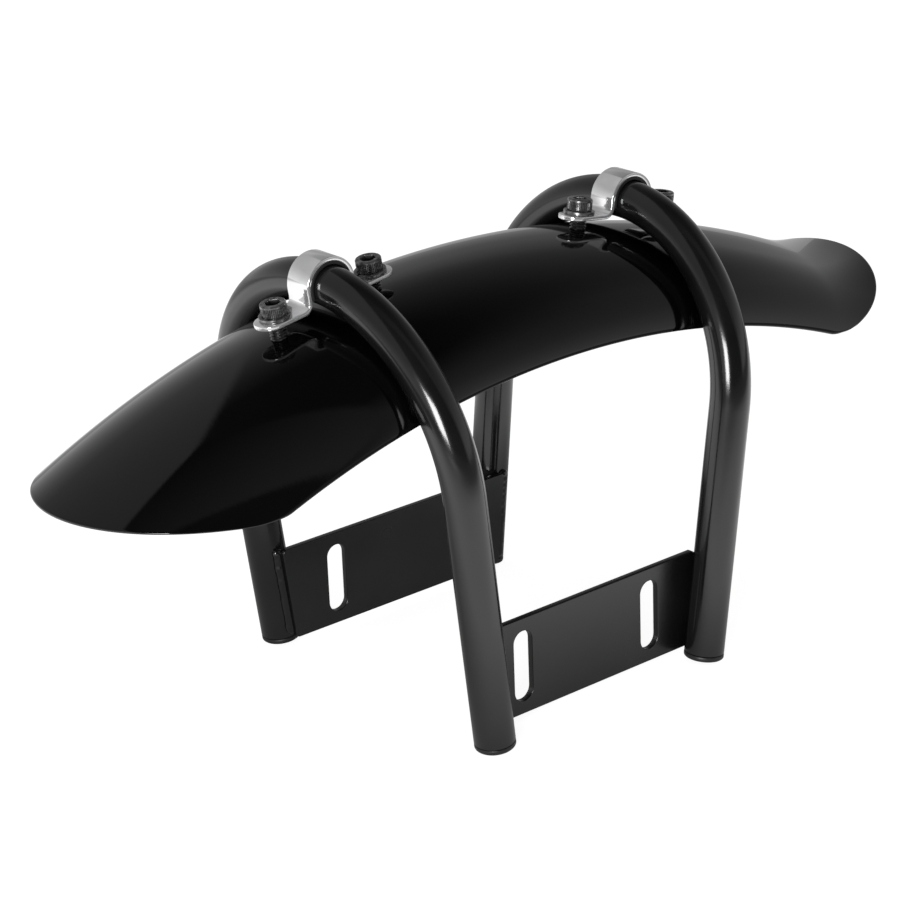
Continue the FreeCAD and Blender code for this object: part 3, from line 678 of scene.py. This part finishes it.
seed_step = 2.7
for number, (side, y_sign) in enumerate(SIDES.items()):
    mesh = plate_mesh(f"{side}_plate_sheet", y_sign)
    finish_piece(f"{side}_plate_sheet", mesh, PLATE_COAT, [f"{side}_plate"], crease=30)
    for leg in HOOPS:
        bead = weld_shape(leg, y_sign, seed_step * number + HOOPS[leg]["sign"])
        add_piece(f"{leg}_{side}_weld", bead, TUBE_COAT, crease=60)


# Clamps and liners
EAR_ROUND = CORNER_SHARE * STRAP_WIDTH


def strap_path(arch, bend, ear, ear_end):
    """Half of a strap's middle line, from its ear's end up to the crown: points and upward normals."""
    ear_steps, bend_steps, arch_steps = 10, 12, 24
    quarter = math.pi / 2
    turn = arch + bend
    stations = []
    if ear_end:
        straight = ear_end - EAR_ROUND
        for step in range(ear_steps):
            share = 1 - math.cos(quarter * step / ear_steps)
            stations.append((ear_end - EAR_ROUND * share, ear, 0.0, 1.0))
        for share in (0.0, 0.5):
            stations.append((straight + (turn - straight) * share, ear, 0.0, 1.0))
        for step in range(bend_steps + 1):
            angle = 3 * quarter - quarter * step / bend_steps
            x, z = math.cos(angle), math.sin(angle)
            stations.append((turn + bend * x, FLANK_LEVEL + bend * z, -x, -z))
    else:
        stations.append((arch, FLANK_LEVEL, 1.0, 0.0))
    for step in range(arch_steps + 1):
        angle = quarter * step / arch_steps
        x, z = math.cos(angle), math.sin(angle)
        stations.append((arch * x, arch * z, x, z))
    return stations


def strap_shape(arch, bend, ear, ear_end, thickness, soft):
    """A strap with softened edges along its path, mirrored over the crown; ears end in a round."""
    half_path = strap_path(arch, bend, ear, ear_end)
    path = half_path + [(-x, z, -nx, nz) for x, z, nx, nz in reversed(half_path[:-1])]
    corner_steps = 3
    most_of_half = 0.9
    rings = []
    for x, z, nx, nz in path:
        wide = STRAP_WIDTH / 2
        if ear_end:
            near = max(0.0, EAR_ROUND - (ear_end - abs(x)))
            wide = wide - EAR_ROUND + math.sqrt(max(0.0, EAR_ROUND ** 2 - near ** 2))
        thick = thickness / 2
        corners = [(-wide, -thick), (wide, -thick), (wide, thick), (-wide, thick)]
        outline = rounded(corners, min(soft, most_of_half * wide), corner_steps)
        rings.append([Vector((x + nx * up, y, z + nz * up)) for y, up in outline])
    return skin(rings)


for hoop_name, hoop in HOOPS.items():
    place = hoop_frame(hoop, CLAMP_TILT)
    strap = strap_shape(
        arch=STRAP_INNER + STRAP_THICKNESS / 2,
        bend=STRAP_BEND + STRAP_THICKNESS / 2,
        ear=EAR_TOP - STRAP_THICKNESS / 2,
        ear_end=SCREW_SPACING / 2 + EAR_MARGIN,
        thickness=STRAP_THICKNESS,
        soft=0.45,
    )
    node = f"{hoop_name}_clamp"
    add_piece(f"{node}_strap", strap, CHROME, [node], place, crease=60)
    strip = strap_shape(
        arch=TUBE_RADIUS + FIT_GAP + LINER_THICKNESS / 2,
        bend=0,
        ear=0,
        ear_end=None,
        thickness=LINER_THICKNESS,
        soft=0.3,
    )
    node = f"{hoop_name}_clamp_liner"
    add_piece(f"{node}_strip", strip, RUBBER, [node], place, crease=60)


# Screws, washers and nuts
def hex_radius(angle, width):
    """Distance from a hexagon's middle to its side in a direction."""
    off = (angle - HEX_START) % (math.pi / 3) - math.pi / 6
    return width / 2 / math.cos(off)


def screw_shape():
    """A cap screw with knurled head, hexagon socket and thread."""
    count, knurl_depth = 180, 0.28
    around, steps_per_turn = 48, 8
    pitch, depth = 1.411, 0.75
    steepness, crest = 1.25, 0.06
    point_chamfer = 0.9
    angles = spokes(count, HEX_START)

    def ring(radius, z, knurl=0.0):
        """A round ring, cut by the knurl at every other pair of points."""
        return level_ring([radius - knurl * (step % 4 in (0, 3)) for step in range(count)], angles, z)

    def socket_ring(width, z):
        """A hexagonal ring."""
        return level_ring([hex_radius(a, width) for a in angles], angles, z)

    # Rings from under the head up its knurled side, over the top and down the socket
    top, side = HEAD_HEIGHT, HEAD_RADIUS
    rings = [ring(SCREW_RADIUS - 0.8, 0.0), ring(side - 0.35, 0.0), ring(side - 0.05, 0.3)]
    rings += [ring(side, 0.55), ring(side, 0.75, knurl_depth), ring(side, top - 1.5, knurl_depth)]
    rings += [ring(side, top - 1.25), ring(side, top - 0.6), ring(side - 0.25, top - 0.22)]
    rings += [ring(side - 0.6, top), ring(SOCKET_WIDTH / 2 + 0.6, top)]
    rings += [socket_ring(SOCKET_WIDTH + 0.1, top - 0.25), socket_ring(SOCKET_WIDTH, top - 0.45)]
    rings += [socket_ring(SOCKET_WIDTH, top - SOCKET_DEPTH + 0.5), ring(0.4, top - SOCKET_DEPTH)]
    steps = int(SCREW_LENGTH / pitch * steps_per_turn)
    thread = []
    for step in range(steps + 1):
        z = -SCREW_LENGTH * step / steps
        most = SCREW_RADIUS - point_chamfer + (z + SCREW_LENGTH)
        radii = []
        for turn in range(around):
            phase = (z / pitch - turn / around) % 1.0
            cut = depth * min(1.0, max(0.0, steepness * (1 - abs(2 * phase - 1)) - crest))
            radii.append(min(SCREW_RADIUS - cut, most))
        thread.append(level_ring(radii, spokes(around), z))
    return joined(skin(rings), skin(thread))


def lock_washer_shape(split_sign):
    """A spring washer with a slanted split towards the tube."""
    soft, corner_steps, steps = 0.35, 3, 72
    inner, outer = SCREW_RADIUS + FIT_GAP, LOCK_RADIUS
    corners = [(inner, 0.0), (outer, 0.0), (outer, LOCK_THICKNESS), (inner, LOCK_THICKNESS)]
    section = rounded(corners, soft, corner_steps)
    rings = []
    for step in range(steps + 1):
        row = []
        for radius, z in section:
            lean = (z - LOCK_THICKNESS / 2) * math.tan(LOCK_SLOPE)
            first = (LOCK_SPLIT / 2 + lean) / radius
            last = 2 * math.pi - (LOCK_SPLIT / 2 - lean) / radius
            angle = first + (last - first) * step / steps
            row.append(Vector((split_sign * radius * math.cos(angle), radius * math.sin(angle), z)))
        rings.append(row)
    return skin(rings)


def washer_shape():
    """A flat washer with softened edges."""
    soft, corner_steps, count = 0.3, 3, 64
    half = WASHER_THICKNESS / 2
    inner, outer = SCREW_RADIUS + FIT_GAP, WASHER_RADIUS
    corners = [(inner, -half), (outer, -half), (outer, half), (inner, half)]
    return skin(turned(rounded(corners, soft, corner_steps), count), looped=True)


def nut_shape():
    """A hexagon nut with its corners bevelled at both faces and a countersunk bore."""
    count = 96
    countersink = 0.6
    bevel = math.radians(30)
    angles = spokes(count, HEX_START)
    half = NUT_HEIGHT / 2
    bore = SCREW_RADIUS + FIT_GAP
    flat = NUT_WIDTH / 2 - 0.15

    def ring(radius, z):
        """A round ring."""
        return level_ring([radius] * count, angles, z)

    def side(sign):
        """The hexagon's edge at the upper or lower face, lower where the bevel cuts its corners."""
        row = []
        for a in angles:
            radius = hex_radius(a, NUT_WIDTH)
            z = sign * (half - (radius - flat) * math.tan(bevel))
            row.append(Vector((radius * math.cos(a), radius * math.sin(a), z)))
        return row

    wide = bore + countersink
    rings = [ring(bore, -half + countersink), ring(wide, -half), ring(flat, -half), side(-1)]
    rings += [side(1), ring(flat, half), ring(wide, half), ring(bore, half - countersink)]
    return skin(rings, looped=True)


def seated(node, hoop):
    """The frame at the middle of a solid that sits square on a screw."""
    low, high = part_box(node)
    middle = (Vector(low) + Vector(high)) / 2 / MM
    return Matrix.Translation(middle) @ Matrix.Rotation(hoop["sign"] * CLAMP_TILT, 4, "Y")


for hoop_name, hoop in HOOPS.items():
    crown = hoop_frame(hoop, CLAMP_TILT)
    for end, end_sign in ENDS.items():
        stem = f"{hoop_name}_{end}"
        on_ear = crown @ Matrix.Translation((end_sign * SCREW_SPACING / 2, 0, EAR_TOP))
        under_head = on_ear @ Matrix.Translation((0, 0, LOCK_THICKNESS))
        for piece, node, shape, place, crease in (
            ("cap_screw", "screw", screw_shape(), under_head, FINE_CREASE),
            ("spring_washer", "lock_washer", lock_washer_shape(-end_sign), on_ear, CREASE),
            ("flat_washer", "washer", washer_shape(), seated(f"{stem}_washer", hoop), CREASE),
            ("hex_nut", "nut", nut_shape(), seated(f"{stem}_nut", hoop), FINE_CREASE),
        ):
            add_piece(f"{stem}_{piece}", shape, STEEL, [f"{stem}_{node}"], place, crease)


# Floor, light and camera
def seen_rays(tree):
    """One for rays of the camera, and one for mirrored and refracted rays, else zero."""
    rays = tree.nodes.new("ShaderNodeLightPath").outputs
    mirrored = combined(tree, "MAXIMUM", rays["Is Glossy Ray"], rays["Is Transmission Ray"])
    return rays["Is Camera Ray"], mirrored


def along(tree, way):
    """How far a point of the studio lies in a direction from the origin, in metres."""
    place = tree.nodes.new("ShaderNodeTexCoord")
    node = tree.nodes.new("ShaderNodeVectorMath")
    node.operation = "DOT_PRODUCT"
    node.inputs[1].default_value = way
    tree.links.new(place.outputs["Object"], node.inputs[0])
    return node.outputs["Value"]


def add_stage(name, points, faces, material):
    """A piece of the studio, which isn't part of the object."""
    mesh = bpy.data.meshes.new(name)
    mesh.from_pydata(points, [], faces)
    mesh.materials.append(material)
    item = bpy.data.objects.new(name, mesh)
    bpy.context.scene.collection.objects.link(item)
    return item


def add_floor():
    """A pale paper floor, white to the eye; mirrored, it has a painted shadow under the object and
    painted shade towards its ends.
    """
    size = 14.0
    paper_grey = 0.36
    glow_to_eye = 0.88
    material, tree, shader = new_material("pale_floor")
    material.cycles.emission_sampling = "NONE"
    tree.nodes.remove(shader)
    direct, mirrored = seen_rays(tree)
    # The painted shadow is an oval about the object, measured in shares of its half length and half
    # width
    ahead = spread(tree, along(tree, (1.0, 0.0, 0.0)), -1.0, 1.0, -0.24, 0.24, clamp=False)
    aside = spread(tree, along(tree, (0.0, 1.0, 0.0)), -1.0, 1.0, -0.34, 0.11, clamp=False)
    squares = [combined(tree, "MULTIPLY", number, number) for number in (ahead, aside)]
    reach = combined(tree, "ADD", *squares)
    shadow = spread(tree, reach, 0.12, 1.0, 0.6, 1.9)
    # Painted shade: the mirrored floor dims towards the camera, away from it, and to the far side
    near = along(tree, (0.64, 0.77, 0.0))
    painted_dim_front = spread(tree, near, 1.0, 0.0, 0.28, 0.62)
    painted_dim_back = spread(tree, near, 0.32, 1.0, -0.9, -0.35)
    painted_dim_side = spread(tree, along(tree, (0.25, -0.97, 0.0)), 0.0, 1.0, -0.75, -0.35)
    mirror_level = mirrored
    for share in (shadow, painted_dim_front, painted_dim_back, painted_dim_side):
        mirror_level = combined(tree, "MULTIPLY", mirror_level, share)
    direct_level = spread(tree, direct, 0.0, glow_to_eye, 0.0, 1.0)
    glow = tree.nodes.new("ShaderNodeEmission")
    tree.links.new(combined(tree, "ADD", direct_level, mirror_level), glow.inputs["Strength"])
    paper = tree.nodes.new("ShaderNodeBsdfDiffuse")
    paper.inputs["Color"].default_value = (paper_grey, paper_grey, paper_grey, 1)
    both = tree.nodes.new("ShaderNodeAddShader")
    tree.links.new(glow.outputs[0], both.inputs[0])
    tree.links.new(paper.outputs[0], both.inputs[1])
    tree.links.new(both.outputs[0], tree.nodes["Material Output"].inputs["Surface"])
    corners = [(-size, -size, 0), (size, -size, 0), (size, size, 0), (-size, size, 0)]
    add_stage("floor", corners, [(0, 1, 2, 3)], material)


def add_world():
    """A white studio, dimmer as a light than it looks."""
    world = bpy.data.worlds.new("studio")
    world.use_nodes = True
    bpy.context.scene.world = world
    tree = world.node_tree
    direct, mirrored = seen_rays(tree)
    level = spread(tree, combined(tree, "MAXIMUM", direct, mirrored), 0.5, 1.0, 0.0, 1.0)
    tree.links.new(level, tree.nodes["Background"].inputs["Strength"])
    tree.nodes["Background"].inputs["Color"].default_value = (1, 1, 1, 1)


def add_dome():
    """A dome seen only in mirrors: a bright panel off the nose, a dim strip overhead, a glow beyond."""
    radius, low, steps = 12.0, -0.02, 48
    edge_softness = 0.012
    material, tree, shader = new_material("dome_cloth")
    material.cycles.emission_sampling = "NONE"
    tree.nodes.remove(shader)
    place = tree.nodes.new("ShaderNodeTexCoord")
    outward = tree.nodes.new("ShaderNodeVectorMath")
    outward.operation = "NORMALIZE"
    tree.links.new(place.outputs["Object"], outward.inputs[0])

    def towards(way):
        """Cosine of the angle from a direction."""
        node = tree.nodes.new("ShaderNodeVectorMath")
        node.operation = "DOT_PRODUCT"
        node.inputs[1].default_value = way
        tree.links.new(outward.outputs[0], node.inputs[0])
        return node.outputs["Value"]

    def beyond(way):
        """One on the side of the dome that a direction points to, else zero."""
        return spread(tree, towards(way), 0.0, 1.0, -edge_softness, edge_softness)

    def graded(source, stops):
        """Light that changes from stop to stop."""
        node = tree.nodes.new("ShaderNodeValToRGB")
        ramp = node.color_ramp
        while len(ramp.elements) < len(stops):
            ramp.elements.new(1.0)
        for element, (place_on_ramp, level) in zip(ramp.elements, stops):
            element.position = place_on_ramp
            element.color = (level, level, level, 1)
        tree.links.new(source, node.inputs["Fac"])
        return node.outputs["Color"]

    def mixed(share, first, second):
        """Two lights mixed by the share of the second."""
        node = tree.nodes.new("ShaderNodeMix")
        node.data_type = "RGBA"
        tree.links.new(share, node.inputs["Factor"])
        tree.links.new(first, node.inputs["A"])
        tree.links.new(second, node.inputs["B"])
        return node.outputs["Result"]

    rise = towards((0.0, 0.0, 1.0))
    glow_stops = ((0.0, 0.76), (0.17, 0.62), (0.34, 0.43), (0.5, 0.28), (0.7, 0.17), (0.88, 0.03))
    glow = graded(rise, glow_stops)
    shade = graded(rise, ((0.0, 0.14), (0.5, 0.11), (0.9, 0.03)))
    room = graded(rise, ((0.0, 0.06), (0.9, 0.04)))
    aside = towards((0.0, 1.0, 0.0))
    strip = spread(tree, aside, 0.02, 0.21, -0.3, 0.88)
    panel = graded(rise, ((0.0, 0.80), (0.17, 0.58), (0.34, 0.42), (0.5, 0.30), (1.0, 0.34)))
    camera_side = spread(tree, towards((0.64, 0.77, 0.0)), 0.0, 1.0, 0.30, 0.48)
    behind = spread(tree, towards((-0.6, -0.375, 0.707)), 0.0, 0.6, 0.86, 0.97)
    past_tail_end = spread(tree, towards((-0.985, -0.17, 0.0)), 0.0, 0.36, 0.7, 0.95)
    past_middle = spread(tree, towards((-0.66, -0.745, 0.1)), 0.0, 0.65, 0.93, 0.99)
    level = mixed(behind, glow, shade)
    level = mixed(past_tail_end, level, shade)
    level = mixed(past_middle, level, shade)
    level = mixed(camera_side, level, room)
    overhead = spread(tree, aside, 0.0, 1.0, -0.45, -0.3)
    for edge in ((0.933, 0.347, 0.099), (-0.867, -0.411, 0.283)):
        overhead = combined(tree, "MULTIPLY", overhead, beyond(edge))
    level = mixed(overhead, level, strip)
    left = beyond((0.8826, -0.4386, -0.1693))
    top = beyond((0.6014, -0.7523, -0.2691))
    level = mixed(left, level, mixed(top, level, panel))
    lamp = tree.nodes.new("ShaderNodeEmission")
    tree.links.new(level, lamp.inputs["Strength"])
    tree.links.new(lamp.outputs[0], tree.nodes["Material Output"].inputs["Surface"])
    rises = [low + (math.pi / 2 - low) * step / steps for step in range(steps + 1)]
    rings = turned([(radius * math.cos(angle), radius * math.sin(angle)) for angle in rises], 2 * steps)
    dome = add_stage("dome", *skin(rings, caps=False), material)
    dome.visible_camera = False
    dome.visible_diffuse = False
    dome.visible_shadow = False
    dome.visible_transmission = False


def add_lamp(name, place, aim, size, power):
    """A square soft light."""
    data = bpy.data.lights.new(name, "AREA")
    data.shape = "SQUARE"
    data.size = size
    data.energy = power
    lamp = bpy.data.objects.new(name, data)
    lamp.location = place
    lamp.visible_camera = False
    lamp.rotation_euler = (Vector(aim) - Vector(place)).to_track_quat("-Z", "Y").to_euler()
    bpy.context.scene.collection.objects.link(lamp)


def add_camera():
    """The camera at the place and angle of the photograph."""
    place = (0.77886, 0.92892, 0.57807)
    yaw, pitch, roll = math.radians(230.852), math.radians(21.425), math.radians(2.226)
    sensor, lens = 36.0, 110.76
    ahead = Vector((math.cos(pitch) * math.cos(yaw), math.cos(pitch) * math.sin(yaw), -math.sin(pitch)))
    level = ahead.cross(Vector((0, 0, 1))).normalized()
    down = ahead.cross(level)
    right = level * math.cos(roll) + down * math.sin(roll)
    up = level * math.sin(roll) - down * math.cos(roll)
    data = bpy.data.cameras.new("camera")
    data.sensor_width = sensor
    data.lens = lens
    camera = bpy.data.objects.new("camera", data)
    turn = Matrix((right, up, -ahead)).transposed().to_4x4()
    camera.matrix_world = Matrix.Translation(place) @ turn
    bpy.context.scene.collection.objects.link(camera)
    bpy.context.scene.camera = camera


add_floor()
add_world()
add_dome()
add_lamp("key", place=(0.796, 0.591, 0.31), aim=(0, 0.08, 0.157), size=0.32, power=6.6)
add_camera()
bpy.context.scene.view_settings.view_transform = "Standard"
